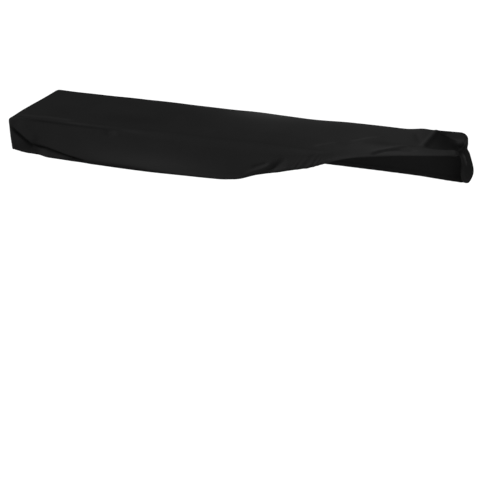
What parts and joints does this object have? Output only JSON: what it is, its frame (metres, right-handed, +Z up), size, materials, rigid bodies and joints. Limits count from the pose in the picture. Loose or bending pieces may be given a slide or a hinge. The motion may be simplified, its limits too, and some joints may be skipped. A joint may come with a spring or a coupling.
{
  "type": "digital piano cover",
  "caption": "Long hollow dust cover of black stretch cloth for a digital piano, open below, with a sloping top, a turned elastic hem and its right front corner drawn up and back.",
  "frame": {"origin": "middle of the flat underside of the sloping top, where the covered instrument holds the cover up", "axes": "+X along the length towards the drawn-up corner, -Y to the front, +Z up"},
  "size_m": [1.3713, 0.3087, 0.1577],
  "materials": {
    "cloth": "matte black stretch knit, a little paler where it is drawn tight"
  },
  "bodies": {
    "root": {"cover": "cloth"}
  },
  "joints": []
}
